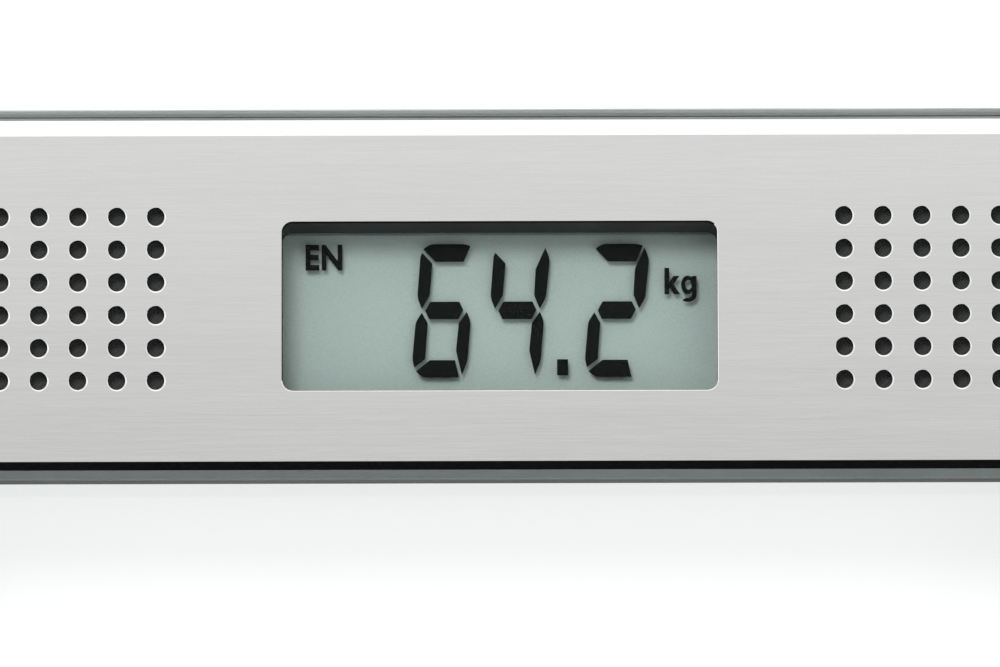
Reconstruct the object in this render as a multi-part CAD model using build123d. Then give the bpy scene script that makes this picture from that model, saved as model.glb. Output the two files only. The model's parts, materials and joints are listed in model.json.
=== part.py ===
from build123d import *
import math
import os

os.makedirs("parts", exist_ok=True)

# Glass platform
platform_width = 300.0
platform_depth = 300.0
glass_thickness = 8.0
glass_corner = 26.0
glass_arris = 0.3
glass_underside = 22.0

# Display bar lying on the glass near its back edge
bar_margin = 5.65
bar_depth = 52.3
bar_front_corner = 2.0
base_height = 4.1
cover_thickness = 0.6

# Window over the display
window_width = 67.0
window_depth = 27.0
window_corner = 1.6
window_shift = -1.3
recess_depth = 6.1

# Sound holes, a field on each side of the window
hole_diameter = 2.65
hole_pitch_x = 6.0
hole_pitch_y = 5.25
hole_rows = 6
hole_columns = 7
bay_border = 2.0
cloth_border = 1.0
cloth_clearance = 0.1
cloth_thickness = 0.4
cloth_rise = 2.0

# Liquid crystal display
lcd_side_border = 3.5
lcd_seal_width = 2.0
lcd_ledge = 3.0
lcd_glass = 1.1
lcd_gap = 0.2
reflector_thickness = 0.3
gasket_thickness = 0.3
lcd_clearance = 0.3
pod_wall = 1.2
pod_skirt = 1.9
zebra_width = 2.2
zebra_inset = 2.0

# Main board
board_gap = 8.0
board_depth = 38.0
board_thickness = 1.6
board_drop = 0.4
board_corner = 2.0
chip_radius = 5.5
chip_height = 1.6
chip_slope = 1.3
speech_chip_size = (10.0, 7.5, 2.3)
chip_spacing = 16.0
socket_size = (6.5, 5.0, 4.2)
socket_inset = 0.8

# Screws that clamp the housing, board and bar together
boss_radius = 3.2
boss_pilot = 1.1
boss_merge = 0.6
boss_row = 16.5
housing_boss_radius = 4.0
screw_shank = 1.3
screw_clearance = 0.2
screw_head_radius = 2.5
screw_head_height = 1.8
screw_grip = 5.0
drive_length = 3.2
drive_width = 0.7
drive_depth = 1.1
counterbore_depth = 7.0
opening_clearance = 0.8
opening_corner = 4.0

# Loudspeakers
speaker_diameter = 36.0
speaker_clearance = 1.0
speaker_side = 24.0
rim_width = 3.4
rim_thickness = 1.0
basket_depth = 5.0
basket_wall = 0.8
magnet_radius = 9.0
magnet_height = 3.6
cone_throat = 4.5
cone_depth = 3.2
cone_thickness = 0.4
pillar_radius = 1.2
pillar_count = 3

# Housing under the glass
housing_back_inset = 1.0
housing_bottom = 4.8
housing_wall = 2.0
housing_corner = 6.0
housing_edge = 2.6
tub_inset = 3.5
flange_height = 2.0
tape_width = 4.0
tape_thickness = 0.6

# Battery bay and door
cell_length = 44.5
cell_diameter = 10.5
cell_count = 3
cell_gap = 0.5
cell_clearance = 0.2
cell_tip_radius = 1.9
cell_tip_height = 0.9
bay_side_gap = 1.0
contact_space = 4.0
contact_thickness = 0.4
contact_width = 7.0
contact_height = 8.0
bay_wall = 1.4
bay_ceiling = 1.2
door_thickness = 2.0
door_clearance = 0.4
barrel_radius = 1.7
barrel_pin_radius = 1.0
barrel_pin_length = 2.2
pin_clearance = 0.2
ear_width = 3.2
ear_height = 4.4
ear_length = 5.6
notch_radius = 5.0
notch_depth = 1.2
grip_count = 4
grip_pitch = 2.2
grip_inset = 2.6
grip_width = 1.0
grip_length = 16.0
grip_depth = 0.5

# Three buttons under the left loudspeaker
button_radius = 2.8
button_proud = 0.5
button_clearance = 0.3
button_flange_radius = 3.6
button_flange = 1.0
button_stem = 0.5
button_spacing = 8.0
button_travel = 0.6
button_play = 0.1
button_dish_radius = 2.2
button_dish_depth = 0.4
switch_size = 6.0
switch_height = 3.4
plunger_radius = 1.5
plunger_height = 0.9
switch_board_size = (24.0, 14.0, 1.2)
switch_post_radius = 1.4
switch_post_inset = 1.8

# Feet
foot_inset = 30.0
foot_edge = 8.0
foot_size = 44.0
foot_gap = 3.0
foot_corner = 10.0
foot_wall = 2.0
foot_bottom = 8.0
foot_lip = 1.2
foot_slope = 0.8
disc_margin = 4.0
disc_thickness = 1.2
ridge_width = 4.0
ridge_height = 1.5
cell_plate_gap = 3.0
cell_plate_corner = 3.0
cell_plate_thickness = 2.8
tongue_width = 13.0
tongue_slot = 2.0
tongue_root = 8.0
shoe_margin = 2.0
shoe_clearance = 0.5
shoe_bottom = 2.4
lug_length = 1.3
lug_width = 9.0
lug_height = 1.5
lug_play = 0.1
foot_travel = 0.5
post_radius = 4.5
post_play = 0.2
pad_margin = 1.5

# Leads from the load cells
lead_radius = 1.3
lead_height = 17.0
lead_hole_clearance = 0.2
lead_bend = 10.0
lead_inner_bend = 7.0
lead_run_inset = 9.0
lead_row = -5.5
lead_end = 1.6
channel_wall = 1.0
channel_gap = 0.9
channel_front_gap = 6.0
channel_back_gap = 4.0

# Levels
glass_top = glass_underside + glass_thickness
base_top = glass_top + base_height
cover_top = base_top + cover_thickness
cloth_low = glass_top + cloth_rise
lcd_face = cover_top - recess_depth
lcd_front_low = lcd_face - lcd_glass
lcd_rear_top = lcd_front_low - lcd_gap
lcd_rear_low = lcd_rear_top - lcd_glass
board_top = glass_underside - board_drop
board_low = board_top - board_thickness
housing_top = glass_underside - tape_thickness
housing_floor = housing_bottom + housing_wall
cell_low = housing_bottom + door_thickness + cell_clearance
bay_ceiling_low = cell_low + cell_diameter + cell_clearance
bay_top = bay_ceiling_low + bay_ceiling
speaker_rim_low = glass_top - rim_thickness
basket_low = speaker_rim_low - basket_depth
foot_top = glass_underside - disc_thickness

# Places
bar_back = platform_depth / 2 - bar_margin
bar_front = bar_back - bar_depth
bar_y = (bar_back + bar_front) / 2
bar_width = platform_width - 2 * bar_margin
window_y = bar_y + window_shift
foot_x = platform_width / 2 - foot_edge - foot_size / 2
housing_width = 2 * (foot_x - foot_size / 2 - foot_gap)
housing_back = bar_back - housing_back_inset
housing_y = (bar_front + housing_back) / 2
housing_depth = housing_back - bar_front
tub_front = bar_front + tub_inset
tub_side = housing_width / 2 - tub_inset
speaker_x = housing_width / 2 - speaker_side
board_width = 2 * (speaker_x - magnet_radius - board_gap)
lead_run_x = housing_width / 2 - lead_run_inset
field_width = (hole_columns - 1) * hole_pitch_x
bay_width = field_width + hole_diameter + 2 * bay_border
bay_depth = (hole_rows - 1) * hole_pitch_y + hole_diameter + 2 * bay_border
lcd_width = window_width + 2 * lcd_side_border
lcd_rear_depth = window_depth + 2 * lcd_seal_width
lcd_depth = lcd_rear_depth + 2 * lcd_ledge
pod_width = lcd_width + 2 * (lcd_clearance + pod_wall)
pod_depth = lcd_depth + 2 * (lcd_clearance + pod_wall)
boss_x = pod_width / 2 + boss_radius - boss_merge
boss_places = [(sx * boss_x, window_y + sy * boss_row) for sx in (-1, 1) for sy in (-1, 1)]
opening_width = 2 * (boss_x + boss_radius + opening_clearance)
opening_depth = pod_depth + 2 * opening_clearance
battery_length = cell_length + 2 * contact_space
battery_depth = cell_count * cell_diameter + (cell_count - 1) * cell_gap + 2 * bay_side_gap
hinge_x = -(battery_length / 2 + bay_wall + barrel_radius + door_clearance)
hinge_z = housing_bottom + barrel_radius
shoe_radius = foot_size / 2 - foot_wall - shoe_margin
pad_radius = shoe_radius - pad_margin
cell_plate_size = foot_size - 2 * (foot_wall + cell_plate_gap)
foot_y = platform_depth / 2 - foot_inset
feet = {
    "front_left": (-foot_x, -foot_y),
    "front_right": (foot_x, -foot_y),
    "back_left": (-foot_x, foot_y),
    "back_right": (foot_x, foot_y),
}
sides = {"left": -1, "right": 1}


def block(width, depth, low, high, x=0.0, y=0.0, corner=0.0):
    outline = RectangleRounded(width, depth, corner) if corner else Rectangle(width, depth)
    return Pos(x, y, low) * extrude(outline, high - low)


def rod(radius, low, high, x=0.0, y=0.0):
    return Pos(x, y, (low + high) / 2) * Cylinder(radius, high - low)


def frame(width, depth, wall, low, high, x=0.0, y=0.0, corner=0.0):
    inner_corner = max(corner - wall, 0.0)
    outer = block(width, depth, low, high, x, y, corner)
    return outer - block(width - 2 * wall, depth - 2 * wall, low, high, x, y, inner_corner)


def spun(points, x=0.0, y=0.0):
    profile = make_face(Polyline(*points, close=True))
    return Pos(x, y, 0) * revolve(Plane.XZ * profile, Axis.Z)


def platform_glass():
    glass = block(platform_width, platform_depth, glass_underside, glass_top, corner=glass_corner)
    glass = chamfer(glass.faces().filter_by(Axis.Z).edges(), glass_arris)
    glass -= block(opening_width, opening_depth, glass_underside, glass_top, 0, window_y, opening_corner)
    for side in sides.values():
        hole_radius = speaker_diameter / 2 + speaker_clearance
        glass -= rod(hole_radius, glass_underside, glass_top, side * speaker_x, bar_y)
    return glass


def bar_outline():
    outline = Rectangle(bar_width, bar_depth)
    outline = fillet(outline.vertices().group_by(Axis.Y)[-1], glass_corner - bar_margin)
    return fillet(outline.vertices().group_by(Axis.Y)[0], bar_front_corner)


def cover_plate():
    face = Pos(0, bar_y) * bar_outline()
    face -= Pos(0, window_y) * RectangleRounded(window_width, window_depth, window_corner)
    holes = GridLocations(hole_pitch_x, hole_pitch_y, hole_columns, hole_rows)
    for side in sides.values():
        middle = Pos(side * speaker_x, bar_y)
        face -= [middle * place * Circle(hole_diameter / 2) for place in holes]
    return Pos(0, 0, base_top) * extrude(face, cover_thickness)


def cloth_outline(clearance=0.0):
    border = cloth_border - clearance
    return bay_width + 2 * border, bay_depth + 2 * border


def bar_base():
    pod_low = lcd_rear_low - pod_skirt
    ledge = lcd_face + gasket_thickness
    base = Pos(0, bar_y, glass_top) * extrude(bar_outline(), base_height)
    base += block(pod_width, pod_depth, pod_low, glass_top, 0, window_y, pod_wall)
    base -= block(lcd_width + 2 * lcd_clearance, lcd_depth + 2 * lcd_clearance, pod_low, ledge, 0, window_y)
    base -= block(window_width, window_depth, ledge, base_top, 0, window_y, window_corner)
    for side in sides.values():
        base -= block(bay_width, bay_depth, glass_top, base_top, side * speaker_x, bar_y)
        width, depth = cloth_outline()
        base -= block(width, depth, glass_top, cloth_low + cloth_thickness, side * speaker_x, bar_y)
    for x, y in boss_places:
        base += rod(boss_radius, board_top, glass_top, x, y)
    for x, y in boss_places:
        base -= rod(boss_pilot, board_top, glass_top, x, y)
    return base


def sound_cloth(side):
    width, depth = cloth_outline(cloth_clearance)
    return block(width, depth, cloth_low, cloth_low + cloth_thickness, side * speaker_x, bar_y)


def lcd_gasket():
    low, high = lcd_face, lcd_face + gasket_thickness
    gasket = block(lcd_width, lcd_depth, low, high, 0, window_y)
    return gasket - block(window_width, window_depth, low, high, 0, window_y, window_corner)


def lcd_front_glass():
    return block(lcd_width, lcd_depth, lcd_front_low, lcd_face, 0, window_y)


def lcd_seal():
    return frame(lcd_width, lcd_rear_depth, lcd_seal_width, lcd_rear_top, lcd_front_low, 0, window_y)


def lcd_rear_glass():
    return block(lcd_width, lcd_rear_depth, lcd_rear_low, lcd_rear_top, 0, window_y)


def lcd_reflector():
    return block(lcd_width, lcd_rear_depth, lcd_rear_low - reflector_thickness, lcd_rear_low, 0, window_y)


def zebra_strip(row):
    y = window_y + row * (lcd_rear_depth + lcd_ledge) / 2
    return block(lcd_width - 2 * zebra_inset, zebra_width, board_top, lcd_front_low, 0, y)


def main_board():
    board = block(board_width, board_depth, board_low, board_top, 0, window_y, board_corner)
    for x, y in boss_places:
        board -= rod(screw_shank + screw_clearance, board_low, board_top, x, y)
    return board


def display_chip():
    blob = rod(chip_radius, board_top, board_top + chip_height, -chip_spacing / 2, window_y)
    return chamfer(blob.faces().sort_by(Axis.Z)[-1].edges(), chip_slope)


def speech_chip():
    width, depth, height = speech_chip_size
    return block(width, depth, board_top, board_top + height, chip_spacing / 2, window_y)


def socket_place(side, y):
    return side * (board_width / 2 - socket_inset - socket_size[0] / 2), y


def lead_socket(side, y):
    width, depth, height = socket_size
    x, y = socket_place(side, y)
    return block(width, depth, board_low - height, board_low, x, y)


def speaker_basket(side):
    outer = speaker_diameter / 2
    inner = outer - rim_width
    low = basket_low
    points = [
        (0, low - magnet_height), (magnet_radius, low - magnet_height), (magnet_radius, low),
        (inner + basket_wall, speaker_rim_low), (outer, speaker_rim_low), (outer, glass_top),
        (inner, glass_top), (inner, speaker_rim_low), (magnet_radius - basket_wall, low + basket_wall),
        (0, low + basket_wall),
    ]
    return spun(points, side * speaker_x, bar_y)


def speaker_cone(side):
    top = speaker_rim_low + rim_thickness / 2
    edge = speaker_diameter / 2 - rim_width
    low = top - cone_depth
    points = [
        (0, low), (cone_throat, low), (edge, top - cone_thickness), (edge, top),
        (cone_throat, low + cone_thickness), (0, low + 2 * cone_thickness),
    ]
    return spun(points, side * speaker_x, bar_y)


def pillar_places(side):
    ring = speaker_diameter / 2 - pillar_radius
    turns = [2 * math.pi * k / pillar_count - math.pi / 2 for k in range(pillar_count)]
    return [(side * speaker_x + ring * math.cos(t), bar_y + ring * math.sin(t)) for t in turns]


def button_places():
    return [(-speaker_x + k * button_spacing, bar_y) for k in (-1, 0, 1)]


def switch_board_low():
    stem_top = housing_floor + button_play + button_flange + button_stem
    return stem_top + button_travel + button_play + plunger_height + switch_height


def housing_tape():
    return frame(
        housing_width, housing_depth, tape_width, housing_top, glass_underside,
        0, housing_y, housing_corner,
    )


def battery_bay():
    x_size = battery_length + 2 * bay_wall
    y_size = battery_depth + 2 * bay_wall
    bay = block(x_size, y_size, housing_bottom, bay_top, 0, housing_y)
    bay -= block(battery_length, battery_depth, housing_bottom, bay_ceiling_low, 0, housing_y)
    ear_y = battery_depth / 2 + ear_width / 2
    ear_x = hinge_x - barrel_radius - door_clearance + ear_length / 2
    for row in (-1, 1):
        ear = block(ear_length, ear_width, housing_bottom, housing_bottom + ear_height, ear_x, row * ear_y)
        bay += Pos(0, housing_y, 0) * ear
    return bay


def door_way():
    left = hinge_x - barrel_radius - door_clearance
    right = battery_length / 2
    way_top = housing_bottom + door_thickness + cell_clearance + door_clearance
    barrel_top = hinge_z + barrel_radius + door_clearance
    way = block(right - left, battery_depth, housing_bottom, way_top, (left + right) / 2, housing_y)
    hinge_right = -battery_length / 2 - bay_wall
    hinge_middle = (left + hinge_right) / 2
    way += block(hinge_right - left, battery_depth, housing_bottom, barrel_top, hinge_middle, housing_y)
    pin_length = battery_depth + 2 * (barrel_pin_length + pin_clearance - door_clearance)
    pin_hole = Cylinder(barrel_pin_radius + pin_clearance, pin_length)
    return way + Pos(hinge_x, housing_y, hinge_z) * Rot(90, 0, 0) * pin_hole


def lower_housing():
    flange_low = housing_top - flange_height
    wall_in = tub_inset + housing_wall
    width, depth = housing_width - 2 * tub_inset, housing_depth - 2 * tub_inset
    body = block(width, depth, housing_bottom, flange_low, 0, housing_y, housing_corner)
    body = chamfer(body.faces().sort_by(Axis.Z)[0].edges(), housing_edge)
    body += block(housing_width, housing_depth, flange_low, housing_top, 0, housing_y, housing_corner)
    width, depth = housing_width - 2 * wall_in, housing_depth - 2 * wall_in
    body -= block(width, depth, housing_floor, housing_top, 0, housing_y, housing_corner - housing_wall)
    body += battery_bay()
    body -= door_way()
    notch_x = battery_length / 2 + notch_radius / 2
    body -= rod(notch_radius, housing_bottom, housing_bottom + notch_depth, notch_x, housing_y)
    for x, y in boss_places:
        body += rod(housing_boss_radius, housing_floor, board_low, x, y)
    for x, y in boss_places:
        body -= rod(screw_shank + screw_clearance, housing_bottom, board_low, x, y)
        head_hole = screw_head_radius + screw_clearance
        body -= rod(head_hole, housing_bottom, housing_bottom + counterbore_depth, x, y)
    for side in sides.values():
        for x, y in pillar_places(side):
            body += rod(pillar_radius, housing_floor, speaker_rim_low, x, y)
    width, depth, thickness = switch_board_size
    for sx in (-1, 1):
        for sy in (-1, 1):
            x = -speaker_x + sx * (width / 2 - switch_post_inset)
            y = bar_y + sy * (depth / 2 - switch_post_inset)
            body += rod(switch_post_radius, housing_floor, switch_board_low(), x, y)
    for x, y in button_places():
        body -= rod(button_radius + button_clearance, housing_bottom, housing_floor, x, y)
    hole = Cylinder(lead_radius + lead_hole_clearance, 4 * housing_wall)
    for side in sides.values():
        body -= Pos(side * lead_run_x, tub_front, lead_height) * Rot(90, 0, 0) * hole
        body -= Pos(side * tub_side, foot_y, lead_height) * Rot(0, 90, 0) * hole
    return body


def battery_door():
    left = hinge_x
    right = battery_length / 2 - door_clearance
    width = battery_depth - 2 * door_clearance
    middle = (left + right) / 2
    door = block(right - left, width, housing_bottom, housing_bottom + door_thickness, middle, housing_y)
    for index in range(grip_count):
        x = right - grip_inset - index * grip_pitch
        door -= block(grip_width, grip_length, housing_bottom, housing_bottom + grip_depth, x, housing_y)
    barrel = Cylinder(barrel_radius, width)
    pins = Cylinder(barrel_pin_radius, width + 2 * barrel_pin_length)
    return door + Pos(hinge_x, housing_y, hinge_z) * Rot(90, 0, 0) * (barrel + pins)


def cell_y(index):
    return housing_y + (index - (cell_count - 1) / 2) * (cell_diameter + cell_gap)


def battery_cell(index):
    heading = 1 if index % 2 else -1
    body_length = cell_length - cell_tip_height
    cell = Pos(-cell_tip_height / 2, 0, 0) * Rot(0, 90, 0) * Cylinder(cell_diameter / 2, body_length)
    tip_x = cell_length / 2 - cell_tip_height / 2
    cell += Pos(tip_x, 0, 0) * Rot(0, 90, 0) * Cylinder(cell_tip_radius, cell_tip_height)
    return Pos(0, cell_y(index), cell_low + cell_diameter / 2) * Rot(0, 0, 90 - 90 * heading) * cell


def contact_leaf(end, index):
    wall = battery_length / 2
    reach = contact_space - contact_thickness
    middle = cell_low + cell_diameter / 2
    half = contact_height / 2
    back = wall - contact_thickness
    fold = 2 * contact_thickness
    points = [
        (wall, middle - half), (wall, middle + half), (back, middle + half),
        (wall - reach, middle), (back, middle - half),
    ]
    leaf = make_face(Polyline(*points, close=True))
    hollow = make_face(Polyline(
        (back, middle - half + fold), (back, middle + half - fold), (wall - reach + fold, middle),
        close=True,
    ))
    solid = extrude(Plane.XZ * (leaf - hollow), contact_width / 2, both=True)
    solid = Pos(0, cell_y(index), 0) * solid
    return solid if end > 0 else mirror(solid, Plane.YZ)


def battery_contacts():
    return [contact_leaf(end, index) for end in (-1, 1) for index in range(cell_count)]


def switch_board():
    width, depth, thickness = switch_board_size
    low = switch_board_low()
    return block(width, depth, low, low + thickness, -speaker_x, bar_y, board_corner)


def tact_switches():
    top = switch_board_low()
    low = top - switch_height
    bodies = []
    for x, y in button_places():
        body = block(switch_size, switch_size, low, top, x, y)
        bodies.append(body + rod(plunger_radius, low - plunger_height, low, x, y))
    return bodies


def push_button(x, y):
    low = housing_bottom - button_proud
    flange_low = housing_floor + button_play
    flange_top = flange_low + button_flange
    button = rod(button_radius, low, flange_low, x, y)
    button += rod(button_flange_radius, flange_low, flange_top, x, y)
    button += rod(plunger_radius, flange_top, flange_top + button_stem, x, y)
    dish = spun([(0, low), (button_dish_radius, low), (0, low + button_dish_depth)], x, y)
    return button - dish


def housing_screws():
    head_low = housing_bottom + counterbore_depth - screw_head_height
    screws = []
    for x, y in boss_places:
        screw = rod(screw_head_radius, head_low, head_low + screw_head_height, x, y)
        screw += rod(boss_pilot, head_low, board_top + screw_grip, x, y)
        screw -= block(drive_length, drive_width, head_low, head_low + drive_depth, x, y)
        screws.append(screw - block(drive_width, drive_length, head_low, head_low + drive_depth, x, y))
    return screws


def bond_disc(x, y):
    return rod(foot_size / 2 - disc_margin, foot_top, glass_underside, x, y)


def foot_housing(x, y):
    roof = foot_top - foot_wall
    body = block(foot_size, foot_size, foot_bottom, foot_top, corner=foot_corner)
    body = chamfer(body.faces().sort_by(Axis.Z)[0].edges(), foot_slope)
    inner = foot_size - 2 * foot_wall
    body -= block(inner, inner, foot_bottom + foot_lip, roof, corner=foot_corner - foot_wall)
    body -= rod(shoe_radius + shoe_clearance, foot_bottom, foot_bottom + foot_lip)
    ridge_x = cell_plate_size / 2 - ridge_width / 2
    for side in (-1, 1):
        body += block(ridge_width, cell_plate_size, roof - ridge_height, roof, side * ridge_x)
    toward = -1 if x > 0 else 1
    hole = Cylinder(lead_radius + lead_hole_clearance, 4 * foot_wall)
    body -= Pos(toward * foot_size / 2, 0, lead_height) * Rot(0, 90, 0) * hole
    return Pos(x, y, 0) * body


def load_cell(x, y):
    high = foot_top - foot_wall - ridge_height
    low = high - cell_plate_thickness
    plate = block(cell_plate_size, cell_plate_size, low, high, corner=cell_plate_corner)
    reach = cell_plate_size - 2 * tongue_root
    for side in (-1, 1):
        plate -= block(tongue_slot, reach, low, high, side * (tongue_width + tongue_slot) / 2)
    plate -= block(tongue_width + 2 * tongue_slot, tongue_slot, low, high, 0, -reach / 2 + tongue_slot / 2)
    return Pos(x, y, 0) * plate


def foot_shoe(x, y):
    lug_low = foot_bottom + foot_lip + lug_play
    lug_high = lug_low + lug_height
    cell_under = foot_top - foot_wall - ridge_height - cell_plate_thickness
    shoe = rod(shoe_radius, shoe_bottom, lug_high)
    span = 2 * (shoe_radius + lug_length)
    shoe += block(span, lug_width, lug_low, lug_high) + block(lug_width, span, lug_low, lug_high)
    shoe += rod(post_radius, lug_high, cell_under - foot_travel - post_play)
    return Pos(x, y, 0) * shoe


def foot_pad(x, y):
    return rod(pad_radius, 0, shoe_bottom, x, y)


def lead(points, bends):
    path = FilletPolyline(*points, radius=bends) if bends else Polyline(*points)
    section = Plane(path @ 0, z_dir=path % 0) * Circle(lead_radius)
    return sweep(section, path)


def front_lead(side):
    start = side * (foot_x - foot_size / 2 + foot_wall + lead_end)
    row = bar_y + lead_row
    end = socket_place(side, row)[0] + side * socket_size[0] / 2
    route = [(start, -foot_y), (side * lead_run_x, -foot_y), (side * lead_run_x, row), (end, row)]
    return lead([(x, y, lead_height) for x, y in route], [lead_bend, lead_inner_bend])


def back_lead(side):
    start = side * (foot_x - foot_size / 2 + foot_wall + lead_end)
    end = socket_place(side, foot_y)[0] + side * socket_size[0] / 2
    return lead([(start, foot_y, lead_height), (end, foot_y, lead_height)], None)


def lead_channel(side):
    x = side * lead_run_x
    front = -foot_y + lead_bend + channel_front_gap
    back = bar_front - channel_back_gap
    low = lead_height - lead_radius - channel_wall
    inner = 2 * (lead_radius + channel_gap)
    middle = (front + back) / 2
    channel = block(inner + 2 * channel_wall, back - front, low, glass_underside, x, middle)
    return channel - block(inner, back - front, low + channel_wall, glass_underside, x, middle)


nodes = {
    "platform_glass": platform_glass(),
    "cover_plate": cover_plate(),
    "bar_base": bar_base(),
    "lcd_gasket": lcd_gasket(),
    "lcd_front_glass": lcd_front_glass(),
    "lcd_seal": lcd_seal(),
    "lcd_rear_glass": lcd_rear_glass(),
    "lcd_reflector": lcd_reflector(),
    "front_zebra_strip": zebra_strip(-1),
    "back_zebra_strip": zebra_strip(1),
    "main_board": main_board(),
    "display_chip": display_chip(),
    "speech_chip": speech_chip(),
    "housing_tape": housing_tape(),
    "lower_housing": lower_housing(),
    "battery_door": battery_door(),
    "battery_contacts": battery_contacts(),
    "switch_board": switch_board(),
    "tact_switches": tact_switches(),
    "housing_screws": housing_screws(),
    "bond_discs": [bond_disc(x, y) for x, y in feet.values()],
    "foot_housings": [foot_housing(x, y) for x, y in feet.values()],
    "load_cells": [load_cell(x, y) for x, y in feet.values()],
    "lead_sockets": [lead_socket(side, y) for side in sides.values() for y in (bar_y + lead_row, foot_y)],
}
for name, side in sides.items():
    nodes[f"{name}_sound_cloth"] = sound_cloth(side)
    nodes[f"{name}_speaker_basket"] = speaker_basket(side)
    nodes[f"{name}_speaker_cone"] = speaker_cone(side)
    nodes[f"{name}_front_lead"] = front_lead(side)
    nodes[f"{name}_back_lead"] = back_lead(side)
    nodes[f"{name}_lead_channel"] = lead_channel(side)
for index in range(cell_count):
    nodes[f"battery_cell_{index + 1}"] = battery_cell(index)
for name, place in zip(("unit", "language", "volume"), button_places()):
    nodes[f"{name}_button"] = push_button(*place)
for name, place in feet.items():
    nodes[f"{name}_foot_shoe"] = foot_shoe(*place)
    nodes[f"{name}_foot_pad"] = foot_pad(*place)

for name, solid in nodes.items():
    shape = Compound(solid) if isinstance(solid, list) else solid
    export_step(shape, f"parts/{name}.step")
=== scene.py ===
import json
import math

import bmesh
import bpy
from mathutils import Matrix, Vector


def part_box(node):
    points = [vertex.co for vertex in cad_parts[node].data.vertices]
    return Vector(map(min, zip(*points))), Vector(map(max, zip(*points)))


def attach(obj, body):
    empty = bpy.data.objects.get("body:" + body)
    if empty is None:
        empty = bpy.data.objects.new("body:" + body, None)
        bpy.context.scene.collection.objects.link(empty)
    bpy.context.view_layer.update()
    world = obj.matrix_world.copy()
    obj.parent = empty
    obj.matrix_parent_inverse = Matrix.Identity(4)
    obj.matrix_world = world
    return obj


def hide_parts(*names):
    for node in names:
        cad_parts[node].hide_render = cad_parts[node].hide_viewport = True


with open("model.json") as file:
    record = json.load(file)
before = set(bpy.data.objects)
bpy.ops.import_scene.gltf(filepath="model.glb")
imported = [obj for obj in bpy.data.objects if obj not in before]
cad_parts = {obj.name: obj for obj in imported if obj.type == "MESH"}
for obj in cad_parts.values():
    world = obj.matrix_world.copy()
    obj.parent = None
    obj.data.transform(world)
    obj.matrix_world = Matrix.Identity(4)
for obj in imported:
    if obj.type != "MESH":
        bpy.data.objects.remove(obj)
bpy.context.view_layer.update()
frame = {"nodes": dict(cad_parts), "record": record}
nodes = frame["nodes"]
print("frame loaded:", len(nodes), "nodes")


# a socket that does sums: an expression on values adds its Math nodes
class Wire:
    def __init__(self, finish, socket):
        self.finish = finish
        self.socket = socket

    def calc(self, operation, first, second=0.0):
        made = self.finish.node("ShaderNodeMath", {"operation": operation}, {0: first, 1: second})
        return Wire(self.finish, made.outputs[0])

    def __add__(self, other):
        return self.calc("ADD", self, other)

    def __radd__(self, other):
        return self.calc("ADD", other, self)

    def __sub__(self, other):
        return self.calc("SUBTRACT", self, other)

    def __rsub__(self, other):
        return self.calc("SUBTRACT", other, self)

    def __mul__(self, other):
        return self.calc("MULTIPLY", self, other)

    def __rmul__(self, other):
        return self.calc("MULTIPLY", other, self)

    def __truediv__(self, other):
        return self.calc("DIVIDE", self, other)

    def __rtruediv__(self, other):
        return self.calc("DIVIDE", other, self)

    def most(self, other):
        return self.calc("MAXIMUM", self, other)

    def above(self, other):
        return self.calc("GREATER_THAN", self, other)

    def sine(self):
        return self.calc("SINE", self)

    def size(self):
        return self.calc("ABSOLUTE", self)


class Finish:
    def __init__(self, name, owner=None):
        self.owner = owner or bpy.data.materials.new(name)
        self.owner.use_nodes = True
        self.tree = self.owner.node_tree
        self.tree.nodes.clear()

    # every node comes from here: settings first, then values or links of its sockets
    def node(self, kind, settings=None, values=None):
        made = self.tree.nodes.new(kind)
        for key, setting in (settings or {}).items():
            if key == "stops":
                self.fillRamp(made.color_ramp, setting)
            else:
                setattr(made, key, setting)
        for key, value in (values or {}).items():
            socket = made.inputs[key]
            if isinstance(value, Wire):
                self.tree.links.new(value.socket, socket)
            elif socket.type == "RGBA":
                socket.default_value = (*value, 1.0)
            else:
                socket.default_value = value
        return made

    def fillRamp(self, ramp, stops):
        while len(ramp.elements) < len(stops):
            ramp.elements.new(1.0)
        for element, (place, colour) in zip(ramp.elements, stops):
            element.position = place
            element.color = (*colour, 1.0)

    def wire(self, kind, settings=None, values=None, out=0):
        return Wire(self, self.node(kind, settings, values).outputs[out])

    # object coordinates, stretched per axis
    def place(self, stretch=(1, 1, 1)):
        coords = self.wire("ShaderNodeTexCoord", out="Object")
        return self.wire("ShaderNodeMapping", None, {"Vector": coords, "Scale": stretch})

    def axis(self, letter):
        coords = self.wire("ShaderNodeTexCoord", out="Object")
        return self.wire("ShaderNodeSeparateXYZ", None, {0: coords}, letter)

    def noise(self, scale, detail, stretch=(1, 1, 1)):
        values = {"Vector": self.place(stretch), "Scale": scale, "Detail": detail}
        return self.wire("ShaderNodeTexNoise", None, values)

    def ramp(self, value, stops):
        return self.wire("ShaderNodeValToRGB", {"stops": stops}, {0: value})

    # from a colour's darker to its lighter shade, over the middle of a pattern
    def tones(self, pattern, colour, down, up, reach):
        stops = [(0.5 - reach, tinted(colour, down)), (0.5 + reach, tinted(colour, up))]
        return self.ramp(pattern, stops)

    def blend(self, factor, first, second):
        return self.wire("ShaderNodeMix", {"data_type": "RGBA"}, {0: factor, 6: first, 7: second}, 2)

    def bump(self, height, strength, distance):
        values = {"Height": height, "Strength": strength, "Distance": distance}
        return self.wire("ShaderNodeBump", None, values)

    def isRay(self, name):
        return self.wire("ShaderNodeLightPath", out=name)

    # what the camera sees, straight or in metal and glass
    def isSeen(self):
        straight = self.isRay("Is Camera Ray").most(self.isRay("Is Glossy Ray"))
        return straight.most(self.isRay("Is Transmission Ray"))

    def mix(self, factor, first, second):
        return self.wire("ShaderNodeMixShader", None, {0: factor, 1: first, 2: second})

    def paint(self, values):
        return self.show(self.wire("ShaderNodeBsdfPrincipled", None, values))

    def show(self, shader):
        self.node("ShaderNodeOutputMaterial", None, {"Surface": shader})
        return self.owner


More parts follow.
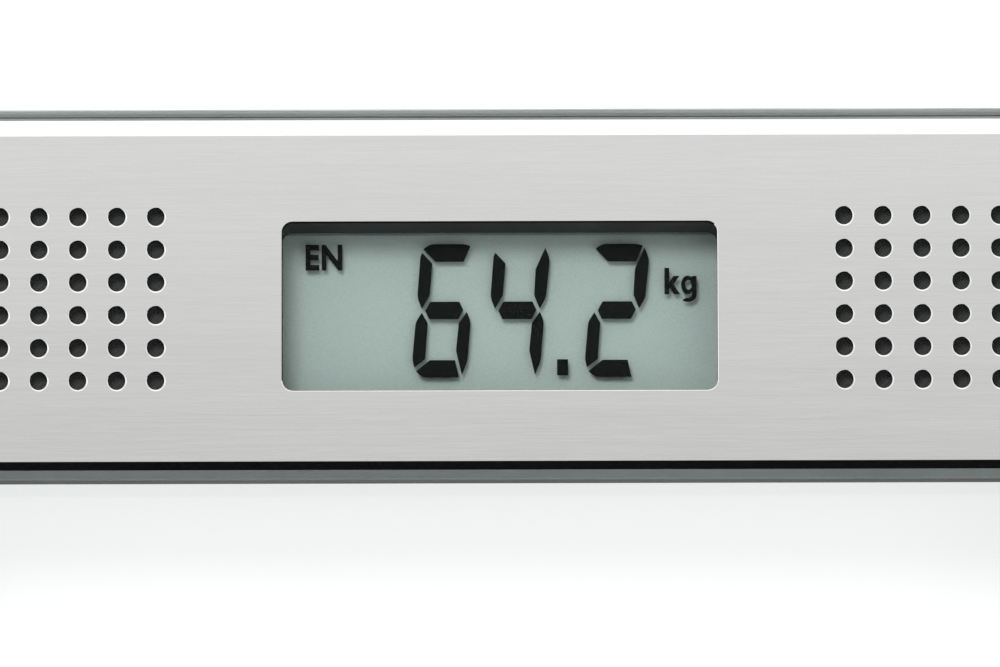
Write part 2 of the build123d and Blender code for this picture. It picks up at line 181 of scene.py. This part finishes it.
def tinted(colour, share):
    return tuple(min(c * share, 1.0) for c in colour)


# a value that swings to both sides of its middle with a pattern
def swing(pattern, middle, reach):
    return middle - reach + pattern * (2 * reach)


brushDepth = 0.00002


# moulded plastic: fine spark grain, slight mottling
def mouldedPlastic(name, colour, roughness, gloss=0.4, grain=0.35, grainScale=2600):
    finish = Finish(name)
    spark = finish.noise(grainScale, detail=3.0)
    mottle = finish.noise(45, detail=3.0)
    return finish.paint({
        "Base Color": finish.tones(mottle, colour, down=0.86, up=1.1, reach=0.18),
        "Roughness": swing(spark, roughness, 0.08),
        "Specular IOR Level": gloss,
        "Normal": finish.bump(spark, strength=grain, distance=0.00006),
    })


# rubber and foam: open grain, dusty lighter patches, and perhaps painted shade that darkens the front edge
def softRubber(name, colour, roughness, cells=1500, depth=0.0001, paintedFrontShade=None):
    finish = Finish(name)
    pores = finish.wire("ShaderNodeTexVoronoi", None, {"Vector": finish.place(), "Scale": cells})
    dust = finish.noise(70, detail=4.0)
    dusty = tuple(min(c * 1.35 + 0.004, 1.0) for c in colour)
    base = finish.blend(dust, colour, dusty)
    if paintedFrontShade:
        # painted shade: the colour darkens towards the front edge
        toBack = (finish.axis("Y") - paintedFrontShade["start"]) / paintedFrontShade["reach"]
        paintedShadeRamp = finish.ramp(toBack, [(0.0, (paintedFrontShade["share"],) * 3), (1.0, (0.0, 0.0, 0.0))])
        base = finish.blend(paintedShadeRamp, base, (0.0, 0.0, 0.0))
    return finish.paint({
        "Base Color": base,
        "Roughness": swing(dust, roughness, 0.06),
        "Normal": finish.bump(pores, strength=0.4, distance=depth),
    })


# metal with lines along one axis
def brushedMetal(name, colour, roughness, stretch):
    finish = Finish(name)
    fine = finish.noise(1, detail=4.0, stretch=stretch)
    broad = finish.noise(1, detail=2.0, stretch=tuple(s * 0.17 for s in stretch))
    lines = fine * 0.65 + broad * 0.35
    return finish.paint({
        "Base Color": finish.tones(lines, colour, down=0.9, up=1.08, reach=0.17),
        "Metallic": 1.0,
        "Roughness": swing(lines, roughness, 0.07),
        "Normal": finish.bump(lines, strength=0.25, distance=brushDepth),
    })


# clear sheet: gloss over a straight view, for the thin display glasses
def thinGlass(name, tint):
    finish = Finish(name)
    clear = finish.wire("ShaderNodeBsdfTransparent", None, {"Color": tint})
    gloss = finish.wire("ShaderNodeBsdfGlossy", None, {"Roughness": 0.08})
    rim = finish.wire("ShaderNodeFresnel", None, {"IOR": 1.45})
    smear = finish.noise(55, detail=3.0)
    return finish.show(finish.mix(rim * (0.02 + smear * 0.06), clear, gloss))


platform = {
    "tint": (0.977, 0.985, 0.982),
    "edge": (0.28, 0.39, 0.365),       # upright faces
    # painted highlight on the top arris, painted shade on the arris at the foot
    "litArris": (0.45, 0.52, 0.5),
    "under": (0.26, 0.325, 0.31),      # arris at the foot
    # how much of the edge is ground rather than clear, from its foot to its top; its rises and falls paint
    # the edge's lighter and darker lines, painted reflection and painted shade
    "groundAndPaintedLight": (
        (0.0, 0.86), (0.1, 0.76), (0.18, 0.76), (0.27, 0.83), (0.4, 0.875),
        (0.46, 0.83), (0.54, 0.75), (0.68, 0.72), (0.84, 0.78), (1.0, 0.85),
    ),
    "margin": 0.0095,      # faces this close to the outline belong to the edge
    "level": 0.9,          # rise of a normal: past this, the face is top or bottom
    "lean": 0.3,           # and past this, an arris
}


# thick clear glass: bends the view, lets lamps and bounced light straight through
def platformClear(name, edge=None):
    finish = Finish(name)
    tint = platform["tint"]
    body = finish.wire("ShaderNodeBsdfGlass", None, {"Color": tint, "Roughness": 0.0, "IOR": 1.5})
    if edge:
        streak = finish.noise(1, detail=3.0, stretch=(60, 60, 700))
        drift = finish.noise(26, detail=2.0)
        low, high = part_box("platform_glass")
        height = (finish.axis("Z") - low.z) / (high.z - low.z)
        share = finish.ramp(height, [(place, (part,) * 3) for place, part in platform["groundAndPaintedLight"]])
        groundAndPaintedLight = finish.wire("ShaderNodeBsdfPrincipled", None, {
            "Base Color": finish.tones(streak * 0.4 + drift * 0.6, edge, down=0.72, up=1.3, reach=0.14),
            "Roughness": 0.22 + streak * 0.2,
            "Specular IOR Level": 0.0,
        })
        body = finish.mix(share, body, groundAndPaintedLight)
    passing = finish.wire("ShaderNodeBsdfTransparent", None, {"Color": tint})
    straight = finish.isRay("Is Shadow Ray").most(finish.isRay("Is Diffuse Ray"))
    return finish.show(finish.mix(straight, body, passing))


def reflectorFilm(name, colour):
    finish = Finish(name)
    speck = finish.noise(5200, detail=2.0)
    cloud = finish.noise(30, detail=2.0)
    return finish.paint({
        "Base Color": finish.tones(speck * 0.75 + cloud * 0.25, colour, down=0.86, up=1.14, reach=0.2),
        "Roughness": 0.5 + speck * 0.15,
    })


def wovenCloth(name, colour, pitch):
    finish = Finish(name)
    across = (finish.axis("X") * (math.tau / pitch)).sine()
    along = (finish.axis("Y") * (math.tau / pitch)).sine()
    weave = across * along * 0.5 + 0.5
    return finish.paint({
        "Base Color": finish.blend(weave, colour, tinted(colour, 2.2)),
        "Roughness": 0.8 + weave * 0.15,
        "Normal": finish.bump(weave, strength=0.6, distance=0.00012),
    })


def stripedRubber(name, dark, pale, pitch):
    finish = Finish(name)
    wave = (finish.axis("X") * (math.tau / pitch)).sine()
    stripes = finish.blend(wave.above(0.2), pale, dark)
    return finish.paint({"Base Color": stripes, "Roughness": 0.55 + wave * 0.05})


# solder mask with paler tracks under it
def boardMask(name, mask, copper):
    finish = Finish(name)
    tracks = finish.wire("ShaderNodeTexBrick", {"offset": 0.37, "squash": 1.4}, {
        "Vector": finish.place((420, 420, 420)), "Mortar Size": 0.055, "Scale": 1.0,
        "Color1": mask, "Color2": tinted(mask, 0.85), "Mortar": copper,
    })
    grain = finish.noise(900, detail=2.0)
    return finish.paint({"Base Color": tracks, "Roughness": 0.3 + grain * 0.15})


cell = {
    "jacket": (0.05, 0.09, 0.14),
    "band": (0.6, 0.6, 0.58),
    "cap": (0.72, 0.72, 0.7),
    "bandFrom": 0.0145,    # from the middle of the cell
    "capFrom": 0.0213,
}


def cellJacket(name):
    finish = Finish(name)
    toEnd = finish.axis("X").size()
    cap = toEnd.above(cell["capFrom"])
    scuff = finish.noise(120, detail=3.0)
    sleeve = finish.blend(toEnd.above(cell["bandFrom"]), cell["jacket"], cell["band"])
    return finish.paint({
        "Base Color": finish.blend(cap, sleeve, cell["cap"]),
        "Metallic": 0.35 + cap * 0.6,
        "Roughness": 0.24 + scuff * 0.16,
    })


def lcdInk(name):
    finish = Finish(name)
    fibre = finish.noise(2500, detail=2.0)
    return finish.paint({
        "Base Color": finish.ramp(fibre, [(0.3, (0.006, 0.007, 0.007)), (0.7, (0.012, 0.013, 0.013))]),
        "Roughness": 0.5 + fibre * 0.1,
        "Specular IOR Level": 0.0,
    })


coverLook = {
    "colour": (0.568, 0.568, 0.562),
    # painted light: the plate's colour drifts paler towards its back edge
    "paintedBackLight": (0.9, 0.9, 0.9),            # colour that the back edge drifts towards
    "drift": 0.3,
    "roughness": 0.27,
    "fine": (70, 5200, 300),           # long lines along the bar
    "hair": (260, 12500, 300),         # faint scratches
    "band": (9, 190, 60),              # a few broad bands
}


def coverBrushing(name):
    finish = Finish(name)
    fine = finish.noise(1, detail=3.0, stretch=coverLook["fine"])
    hair = finish.noise(1, detail=4.0, stretch=coverLook["hair"])
    band = finish.noise(1, detail=2.0, stretch=coverLook["band"])
    lines = fine * 0.4 + hair * 0.4 + band * 0.2
    low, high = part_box("cover_plate")
    toBack = (finish.axis("Y") - low.y) / (high.y - low.y)
    brushed = finish.tones(lines, coverLook["colour"], down=0.91, up=1.06, reach=0.16)
    return finish.paint({
        # painted light, paler towards the back
        "Base Color": finish.blend(toBack * coverLook["drift"], brushed, coverLook["paintedBackLight"]),
        "Metallic": 1.0,
        "Roughness": swing(lines, coverLook["roughness"], 0.06),
        "Normal": finish.bump(lines, strength=0.22, distance=brushDepth),
    })


tapeLook = {
    # painted light: the tape's colour is set paler to make up for the shade under the bar
    "colour": (0.47, 0.525, 0.518),
    # darker copy of the tape's colour for its upright faces: painted shade
    "edge": (0.14, 0.156, 0.153),
    "cells": 1800,
    # painted shade: the face is darker towards its front edge
    "paintedFrontShade": {"start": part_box("housing_tape")[0].y, "reach": 0.0018, "share": 0.24},
}

# one finish for each slot of the record
looks = {
    "brushed_cover": coverBrushing("coverBrushed"),
    "black_plastic": mouldedPlastic("blackMoulding", (0.009, 0.0095, 0.0095), 0.6, gloss=0.0),
    "black_foam": softRubber("blackFoam", (0.015, 0.015, 0.015), 0.9),
    "display_glass": thinGlass("displayGlass", (0.97, 0.985, 0.98)),
    "reflector_film": reflectorFilm("reflectorFilm", (0.432, 0.484, 0.471)),
    "zebra_rubber": stripedRubber("zebraRubber", (0.02, 0.02, 0.02), (0.5, 0.5, 0.48), pitch=0.0005),
    "circuit_board": boardMask("boardMask", (0.02, 0.13, 0.055), (0.05, 0.2, 0.09)),
    "chip_resin": mouldedPlastic("chipResin", (0.014, 0.014, 0.014), 0.35),
    "grey_foam": softRubber("tapeFoam", tapeLook["colour"], 0.85, tapeLook["cells"], paintedFrontShade=tapeLook["paintedFrontShade"]),
    "grey_plastic": mouldedPlastic("housingMoulding", (0.085, 0.094, 0.093), 0.5, gloss=0.04),
    "contact_plating": brushedMetal("contactPlating", (0.74, 0.73, 0.7), 0.22, (700, 700, 90)),
    "disc_steel": brushedMetal("discSteel", (0.62, 0.63, 0.63), 0.3, (900, 120, 120)),
    "cell_steel": brushedMetal("cellSteel", (0.48, 0.48, 0.48), 0.36, (140, 1100, 140)),
    "socket_plastic": mouldedPlastic("socketNylon", (0.78, 0.76, 0.7), 0.5),
    "sound_cloth": wovenCloth("acousticCloth", (0.042, 0.0445, 0.0437), pitch=0.0005),
    "basket_steel": brushedMetal("basketSteel", (0.07, 0.07, 0.07), 0.4, (300, 300, 300)),
    "cone_film": mouldedPlastic("coneFilm", (0.03, 0.03, 0.034), 0.42, grain=0.2, grainScale=900),
    "lead_sheath": softRubber("leadSheath", (0.3, 0.31, 0.32), 0.5, cells=900, depth=0.00003),
    "cell_jacket": cellJacket("cellJacket"),
    "button_plastic": mouldedPlastic("buttonMoulding", (0.025, 0.025, 0.026), 0.38),
    "pad_rubber": softRubber("padRubber", (0.022, 0.022, 0.022), 0.85),
    "platform_glass": platformClear("platformClear"),
}
# and those that only some faces or pieces take
partLooks = {
    "edge": platformClear("platformEdge", platform["edge"]),
    # lit and shaded copies of the ground edge: painted highlight and painted shade
    "litArris": platformClear("platformLitArris", platform["litArris"]),
    "under": platformClear("platformShadedUnder", platform["under"]),
    # painted light: a paler copy of the black moulding for the window's walls
    "wall": mouldedPlastic("windowWallLit", (0.046, 0.049, 0.049), 0.6, gloss=0.04),
    "tapeEdgeShade": softRubber("tapeEdgeShade", tapeLook["edge"], 0.85, tapeLook["cells"]),
    "seal": softRubber("sealResin", (0.15, 0.17, 0.165), 0.6),
    "ink": lcdInk("lcdInk"),
    "rim": brushedMetal("coverRim", (0.8, 0.8, 0.795), 0.2, (500, 500, 500)),
}

slotOf = {row["node"]: row["material_slot"] for row in frame["record"]["subparts"]}
for name, obj in nodes.items():
    obj.data.materials.clear()
    obj.data.materials.append(looks[slotOf[name]])
nodes["lcd_seal"].data.materials[0] = partLooks["seal"]

# the platform's upright and arris faces take the ground edge, with the top arris painted lighter and the
# foot arris darker: painted highlight and painted shade
glass = nodes["platform_glass"].data
groundParts = ("edge", "litArris", "under")
for part in groundParts:
    glass.materials.append(partLooks[part])
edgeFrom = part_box("platform_glass")[1].x - platform["margin"]
for face in glass.polygons:
    rise = face.normal.z
    outer = max(abs(face.center.x), abs(face.center.y)) > edgeFrom
    if outer and abs(rise) < platform["level"]:
        part = "litArris" if rise > platform["lean"] else "under" if rise < -platform["lean"] else "edge"
        face.material_index = 1 + groundParts.index(part)

upright = 0.5    # rise of a normal: short of this, a face counts as a wall

# painted light: the walls of the window are a little paler than the rest of the black base
base = nodes["bar_base"].data
base.materials.append(partLooks["wall"])
lcdLow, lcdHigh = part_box("lcd_front_glass")
for face in base.polygons:
    inside = lcdLow.x < face.center.x < lcdHigh.x and lcdLow.y < face.center.y < lcdHigh.y
    if inside and face.center.z > lcdHigh.z and abs(face.normal.z) < upright:
        face.material_index = 1

# painted shade: the cut edge of the tape takes a darker copy of its foam
tape = nodes["housing_tape"].data
tape.materials.append(partLooks["tapeEdgeShade"])
for face in tape.polygons:
    if abs(face.normal.z) < upright:
        face.material_index = 1
print("finishes set:", len(looks) + len(partLooks))


def finishPiece(bm, name, look):
    bmesh.ops.remove_doubles(bm, verts=bm.verts, dist=1e-7)
    bmesh.ops.recalc_face_normals(bm, faces=bm.faces)
    mesh = bpy.data.meshes.new(name)
    bm.to_mesh(mesh)
    bm.free()
    mesh.shade_flat()
    mesh.materials.append(look)
    piece = bpy.data.objects.new(name, mesh)
    bpy.context.scene.collection.objects.link(piece)
    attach(piece, "scale")
    return piece


# a flat face's corners are rounded, one radius each
def roundCorners(bm, ring, radii, steps):
    for vert, radius in zip(ring, radii):
        bmesh.ops.bevel(
            bm, geom=[vert], offset=radius, offset_type="OFFSET", affect="VERTICES",
            segments=steps, profile=0.5, material=-1,
        )


def fillFlat(bm, edges, up):
    bmesh.ops.triangle_fill(bm, use_beauty=True, use_dissolve=False, edges=edges, normal=(0, 0, up))


def middleOf(low, high):
    return (low.x + high.x) / 2, (low.y + high.y) / 2


def boxCorners(left, front, right, back):
    return [(left, front), (right, front), (right, back), (left, back)]


cover = {
    "edge": 0.00008,                     # outer arris
    "edgeSteps": (0.7, 0.3),             # shares of a cut's width and depth that its first step takes
    "cutSteps": (0.85, 0.35),
    "rim": 0.00018,                      # depth of the cut round each sound hole
    "cut": (0.001518, 0.001585),         # the cut's half width and half depth
    "cutShift": (0.000067, -0.000112),   # the punch leaves it wider at the front and right
    "hole": (0.001335, 0.001457),
    "holeShift": (0.0, 0.000016),
    # painted shade: edge and window cuts that face this way take black
    "dim": (0.4, -0.92),                 # edge and window cuts that look this way are dark
    "paintedShadeShare": 0.38,
    "upright": 0.3,                      # rise of a normal: short of this, a wall
    "level": 0.98,                       # and past this, the face or the underside
    "windowRim": 0.00011,
    "pitch": (0.006, 0.00525),
    "grid": (7, 6),
    "fieldX": 0.071,
    "window": (0.067, 0.027, 0.0016),
    "backCorner": 0.0206,
    "frontCorner": 0.002,
    "cornerSteps": 10,
    "sides": 32,
}


def ovalEdges(bm, radii, centre):
    stretch = Matrix.Diagonal((*radii, 1.0, 1.0))
    made = bmesh.ops.create_circle(
        bm, cap_ends=False, radius=1.0, segments=cover["sides"], matrix=Matrix.Translation(centre) @ stretch,
    )
    return list({edge for vert in made["verts"] for edge in vert.link_edges})


def outlineEdges(bm, corners, radii, z):
    before = set(bm.edges)
    ring = [bm.verts.new((x, y, z)) for x, y in corners]
    bm.faces.new(ring)
    roundCorners(bm, ring, radii, cover["cornerSteps"])
    edges = [edge for edge in bm.edges if edge not in before]
    bmesh.ops.delete(bm, geom=bm.faces[:], context="FACES_ONLY")
    return edges


def pullRing(bm, edges, centre, scale, drop, lean=(0, 0)):
    made = bmesh.ops.extrude_edge_only(bm, edges=edges)["geom"]
    verts = [g for g in made if isinstance(g, bmesh.types.BMVert)]
    bmesh.ops.scale(bm, verts=verts, vec=(*scale, 1), space=Matrix.Translation(-Vector(centre)))
    bmesh.ops.translate(bm, verts=verts, vec=(*lean, -drop))
    return [g for g in made if isinstance(g, bmesh.types.BMEdge)]


# a cut in two steps, and then straight down to the underside
def cutThrough(bm, edges, centre, scale, drop, thick, steps, lean=(0, 0)):
    wide, deep = steps
    first = tuple(1 - (1 - s) * wide for s in scale)
    rest = tuple(s / f for s, f in zip(scale, first))
    edges = pullRing(bm, edges, centre, first, drop * deep, [part * wide for part in lean])
    edges = pullRing(bm, edges, centre, rest, drop * (1 - deep), [part * (1 - wide) for part in lean])
    return pullRing(bm, edges, centre, (1, 1), thick - drop)


# the outline of each sound hole's cut, with its middle
def markHoles(bm, middleY, top):
    columns, rows = cover["grid"]
    pitchX, pitchY = cover["pitch"]
    shiftX, shiftY = cover["cutShift"]
    holes = []
    for side in (-1, 1):
        for column in range(columns):
            for row in range(rows):
                x = side * cover["fieldX"] + (column - (columns - 1) / 2) * pitchX + shiftX
                y = middleY + (row - (rows - 1) / 2) * pitchY + shiftY
                holes.append((ovalEdges(bm, cover["cut"], (x, y, top)), (x, y, top)))
    return holes


# painted shade: walls take black, and cuts outside the fields are dark on the side away from the light; the
# other cuts are bare metal
def dressCuts(mesh, middleY):
    mesh.materials.append(partLooks["rim"])
    mesh.materials.append(looks["black_plastic"])
    fieldX, fieldY = (count * pitch / 2 for count, pitch in zip(cover["grid"], cover["pitch"]))
    for face in mesh.polygons:
        slope = abs(face.normal.z)
        if slope < cover["upright"]:
            face.material_index = 2
        elif slope < cover["level"]:
            beside = abs(abs(face.center.x) - cover["fieldX"])
            inField = beside < fieldX and abs(face.center.y - middleY) < fieldY
            away = face.normal.xy.normalized().dot(Vector(cover["dim"])) > cover["paintedShadeShare"]
            face.material_index = 2 if away and not inField else 1


def makeCover():
    low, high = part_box("cover_plate")
    top, thick, inset = high.z, high.z - low.z, cover["edge"]
    middle = (*middleOf(low, high), top)
    bm = bmesh.new()
    corners = boxCorners(low.x + inset, low.y + inset, high.x - inset, high.y - inset)
    front, back = cover["frontCorner"] - inset, cover["backCorner"] - inset
    outer = outlineEdges(bm, corners, (front, front, back, back), top)
    width, depth, corner = cover["window"]
    rim = cover["windowRim"]
    halfX, halfY = width / 2 + rim, depth / 2 + rim
    windowY = middleOf(*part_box("lcd_front_glass"))[1]
    corners = boxCorners(-halfX, windowY - halfY, halfX, windowY + halfY)
    window = outlineEdges(bm, corners, [corner + rim] * 4, top)
    holes = markHoles(bm, middle[1], top)
    fillFlat(bm, bm.edges[:], 1)
    shrink = (width / (2 * halfX), depth / (2 * halfY))
    under = cutThrough(bm, window, (0, windowY, top), shrink, rim, thick, cover["cutSteps"])
    shrink = tuple(h / c for h, c in zip(cover["hole"], cover["cut"]))
    lean = tuple(h - c for h, c in zip(cover["holeShift"], cover["cutShift"]))
    for edges, centre in holes:
        under += cutThrough(bm, edges, centre, shrink, cover["rim"], thick, cover["cutSteps"], lean)
    span = (high.x - low.x - 2 * inset, high.y - low.y - 2 * inset)
    grow = tuple((s + 2 * inset) / s for s in span)
    under += cutThrough(bm, outer, middle, grow, inset, thick, cover["edgeSteps"])
    fillFlat(bm, under, -1)
    piece = finishPiece(bm, "coverBrushedPlate", looks["brushed_cover"])
    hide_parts("cover_plate")
    dressCuts(piece.data, middle[1])


makeCover()
print("cover plate made")


soundCloth = {
    "thread": 0.0005,      # from one crossing to the next
    "wave": 0.00003,       # rise and fall of the threads
    "sag": 0.00006,
    "thick": 0.00028,
}


# woven cloth, stretched across the space behind a field of holes
def makeCloth(node):
    low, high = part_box(node)
    width, depth = high.x - low.x, high.y - low.y
    across, along = round(width / soundCloth["thread"]), round(depth / soundCloth["thread"])
    bm = bmesh.new()
    bmesh.ops.create_grid(bm, x_segments=across, y_segments=along, size=0.5)
    for vert in bm.verts:
        column, row = round((vert.co.x + 0.5) * across), round((vert.co.y + 0.5) * along)
        slack = (1 - 4 * vert.co.x ** 2) * (1 - 4 * vert.co.y ** 2)
        over = 1 if (column + row) % 2 else -1
        vert.co.z = over * soundCloth["wave"] - slack * soundCloth["sag"]
    bmesh.ops.scale(bm, verts=bm.verts, vec=(width, depth, 1))
    bmesh.ops.solidify(bm, geom=bm.faces[:], thickness=soundCloth["thick"])
    top = max(vert.co.z for vert in bm.verts)
    bmesh.ops.translate(bm, verts=bm.verts, vec=(*middleOf(low, high), high.z - top))
    piece = finishPiece(bm, node.split("_")[0] + "SoundCloth", looks["sound_cloth"])
    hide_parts(node)


for node in ("left_sound_cloth", "right_sound_cloth"):
    makeCloth(node)
print("sound cloths made")


display = {
    "film": (0.15, 0.7),         # foot and height of the ink, in the gap between the glasses
    "step": (0.0000304, 0.00003187),   # one unit of the figures, across and along
    "base": 742,
    "left": -0.015384615,
    "bottom": 0.107565,
    "shifts": (0, 371, 875),
    "figures": ("acdefg", "bcfg", "abdeg"),
    "point": ((795, 733), (851, 733), (851, 653), (795, 653)),
    "roundSmall": 0.00006,
    "roundLarge": 0.0006,
    "cornerSteps": 5,
    "code": {
        "text": "EN", "x": -0.03016, "y": 0.12496, "size": 0.00544,
        "bold": 0.034, "squeeze": 0.84, "spread": 1.09, "curveSteps": 6,
    },
    "unit": {"x": 0.02538, "y": 0.12082, "step": (0.0001565, 0.000161)},
}
# outline of each bar of a figure, and which corners are well rounded
segments = {
    "a": (((118, 97), (153, 72), (332, 72), (357, 82), (323, 160), (180, 160)), (1, 2)),
    "b": (((366, 91), (389, 148), (369, 342), (337, 397), (309, 330), (316, 200)), (1, 2)),
    "c": (((338, 413), (358, 462), (341, 660), (312, 730), (283, 607), (297, 470)), (1, 2)),
    "d": (((80, 712), (150, 656), (278, 656), (297, 742), (112, 742)), (4,)),
    "e": (((110, 417), (140, 470), (126, 650), (72, 692), (61, 655), (78, 465)), (4, 5)),
    "f": (((112, 115), (164, 170), (150, 330), (110, 397), (87, 340), (103, 135)), (4,)),
    "g": (((127, 407), (152, 362), (300, 362), (320, 403), (295, 449), (147, 449)), ()),
}


def inkLevel():
    rear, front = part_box("lcd_rear_glass")[1].z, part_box("lcd_front_glass")[0].z
    foot, height = display["film"]
    return rear + (front - rear) * foot, (front - rear) * height


# a flat outline becomes a closed film and joins the others
def raiseInk(bm, own, thick):
    made = bmesh.ops.extrude_face_region(own, geom=own.faces[:])["geom"]
    lifted = [g for g in made if isinstance(g, bmesh.types.BMVert)]
    bmesh.ops.translate(own, verts=lifted, vec=(0, 0, thick))
    bmesh.ops.recalc_face_normals(own, faces=own.faces)
    mesh = bpy.data.meshes.new("inkStep")
    own.to_mesh(mesh)
    own.free()
    bm.from_mesh(mesh)
    bpy.data.meshes.remove(mesh)


def layInk(bm, corners, large, low, thick):
    own = bmesh.new()
    stepX, stepY = display["step"]
    ring = []
    for x, y in corners:
        along = display["bottom"] + (display["base"] - y) * stepY
        ring.append(own.verts.new((display["left"] + x * stepX, along, low)))
    own.faces.new(ring)
    radii = [display["roundLarge" if index in large else "roundSmall"] for index in range(len(ring))]
    roundCorners(own, ring, radii, display["cornerSteps"])
    raiseInk(bm, own, thick)


def makeFigures():
    low, thick = inkLevel()
    bm = bmesh.new()
    for shift, bars in zip(display["shifts"], display["figures"]):
        for bar in bars:
            corners, large = segments[bar]
            layInk(bm, [(x + shift, y) for x, y in corners], large, low, thick)
    layInk(bm, display["point"], (), low, thick)
    finishPiece(bm, "displayFigures", partLooks["ink"])


def makeWord(name, word):
    low, thick = inkLevel()
    curve = bpy.data.curves.new(name, "FONT")
    curve.body = word["text"]
    curve.size = word["size"]
    curve.offset = word["size"] * word["bold"]
    curve.space_character = word["spread"]
    curve.extrude = thick / 2
    curve.resolution_u = word["curveSteps"]
    text = bpy.data.objects.new(name, curve)
    bpy.context.scene.collection.objects.link(text)
    bpy.context.view_layer.update()
    mesh = bpy.data.meshes.new_from_object(text.evaluated_get(bpy.context.evaluated_depsgraph_get()))
    bpy.data.objects.remove(text)
    bm = bmesh.new()
    bm.from_mesh(mesh)
    bpy.data.meshes.remove(mesh)
    bmesh.ops.scale(bm, verts=bm.verts, vec=(word["squeeze"], 1, 1))
    bmesh.ops.translate(bm, verts=bm.verts, vec=(word["x"], word["y"], low + thick / 2))
    finishPiece(bm, name, partLooks["ink"])


def arc(centre, radii, start, stop, steps=14):
    turns = [math.radians(start + (stop - start) * k / steps) for k in range(steps + 1)]
    return [(centre[0] + radii[0] * math.cos(t), centre[1] + radii[1] * math.sin(t)) for t in turns]


# the unit's two letters, as outlines in steps from the foot of the first stem
def unitOutlines():
    stem = [(0, 0), (4.7, 0), (4.7, 7.2), (9.4, 0), (15.5, 0), (8.8, 9.9)]
    arms = [(14.6, 18.1), (8.8, 18.1), (4.7, 11.9), (4.7, 26.1), (0, 26.1)]
    bowl, hook, join = (23.0, 9.2), (23.0, -0.3), 53.8
    tail = arc(hook, (8.7, 7.4), 0, -128) + arc(hook, (3.9, 3.5), -115, 0)
    around = arc(bowl, (6.6, 9.2), -join, join - 360, 30)
    letter = tail + around + [(26.9, 17.9), (31.7, 17.9)]
    counter = arc((23.6, 9.2), (3.2, 5.0), 0, 345, 23)
    return [[stem + arms], [letter, counter]]


def makeUnit(name, unit):
    low, thick = inkLevel()
    stepX, stepY = unit["step"]
    bm = bmesh.new()
    for loops in unitOutlines():
        own = bmesh.new()
        for loop in loops:
            ring = [own.verts.new((unit["x"] + x * stepX, unit["y"] + y * stepY, low)) for x, y in loop]
            for vert, following in zip(ring, ring[1:] + ring[:1]):
                own.edges.new((vert, following))
        fillFlat(own, own.edges[:], 1)
        raiseInk(bm, own, thick)
    finishPiece(bm, name, partLooks["ink"])


makeFigures()
makeWord("displayCode", display["code"])
makeUnit("displayUnit", display["unit"])
print("display figures made")


studio = {
    "ambient": 0.7,
    "floorSize": 60.0,
    "floorColour": (0.6, 0.6, 0.6),      # as the object's light meets it
    "floorSeen": (0.45, 0.45, 0.45),     # as it is seen, with its glow
    "floorGlow": 0.74,
    "white": (1.0, 1.0, 1.0),
    "target": (0, 0.11, 0.03),
    # place, size, power, and which light it gives
    "lamps": {
        "keyLamp": ((-0.29, 0.5, 1.25), (0.5, 0.5), 8.0, "diffuse"),
        "fillLamp": ((0.7, -0.8, 1.1), (0.9, 0.9), 2.0, "diffuse"),
        "backRim": ((-0.1, 1.38, 0.83), (2.0, 0.9), 1.7, "gloss"),
        "leftRim": ((-1.03, 0.52, 1.03), (0.8, 0.8), 0.6, "gloss"),
        "rightRim": ((1.03, 0.52, 1.03), (0.8, 0.8), 0.45, "gloss"),
    },
}


def makeFloor():
    bm = bmesh.new()
    bmesh.ops.create_grid(bm, x_segments=1, y_segments=1, size=studio["floorSize"])
    mesh = bpy.data.meshes.new("studioFloor")
    bm.to_mesh(mesh)
    bm.free()
    floor = bpy.data.objects.new("studioFloor", mesh)
    bpy.context.scene.collection.objects.link(floor)
    finish = Finish("studioFloor")
    paper = finish.wire("ShaderNodeBsdfDiffuse", None, {"Color": studio["floorColour"]})
    shaded = finish.wire("ShaderNodeBsdfDiffuse", None, {"Color": studio["floorSeen"]})
    light = {"Color": studio["white"], "Strength": studio["floorGlow"]}
    glow = finish.wire("ShaderNodeEmission", None, light)
    both = finish.wire("ShaderNodeAddShader", None, {0: shaded, 1: glow})
    mesh.materials.append(finish.show(finish.mix(finish.isSeen(), paper, both)))


def makeWorld():
    world = bpy.data.worlds.new("studioWorld")
    bpy.context.scene.world = world
    finish = Finish("studioWorld", world)
    dim = {"Color": studio["white"], "Strength": studio["ambient"]}
    soft = finish.wire("ShaderNodeBackground", None, dim)
    plain = finish.wire("ShaderNodeBackground", None, {"Color": studio["white"], "Strength": 1.0})
    mixed = finish.mix(finish.isSeen(), soft, plain)
    finish.node("ShaderNodeOutputWorld", None, {"Surface": mixed})


def makeLamp(name, place, size, power, gives):
    data = bpy.data.lights.new(name, "AREA")
    data.shape = "ELLIPSE"
    data.size, data.size_y = size
    data.energy = power
    lamp = bpy.data.objects.new(name, data)
    lamp.location = place
    lamp.rotation_euler = (Vector(studio["target"]) - Vector(place)).to_track_quat("-Z", "Y").to_euler()
    lamp.visible_camera = False
    lamp.visible_transmission = False
    lamp.visible_glossy = gives == "gloss"
    lamp.visible_diffuse = gives == "diffuse"
    bpy.context.scene.collection.objects.link(lamp)


shot = {
    "lens": 900.0,
    "sensor": 36.0,
    "across": 0.15385,     # width of the view at the aim
    "aim": (0.0, 0.11248, 0.0347),
    "elevation": 74.0,
    "roll": 0.14,
    "clip": (0.01, 200.0),
}


def makeCamera():
    data = bpy.data.cameras.new("photoCamera")
    data.lens = shot["lens"]
    data.sensor_width = shot["sensor"]
    data.clip_start, data.clip_end = shot["clip"]
    away = shot["across"] * shot["lens"] / shot["sensor"]
    tilt = math.radians(shot["elevation"])
    back = Vector((0, -math.cos(tilt), math.sin(tilt)))
    spin = Matrix.Rotation(math.radians(-shot["roll"]), 4, "Z")
    camera = bpy.data.objects.new("photoCamera", data)
    camera.location = Vector(shot["aim"]) + back * away
    camera.rotation_euler = ((-back).to_track_quat("-Z", "Y").to_matrix().to_4x4() @ spin).to_euler()
    bpy.context.scene.collection.objects.link(camera)
    bpy.context.scene.camera = camera


makeFloor()
makeWorld()
for name, setting in studio["lamps"].items():
    makeLamp(name, *setting)
makeCamera()
bpy.context.scene.view_settings.view_transform = "Standard"
print("studio set")
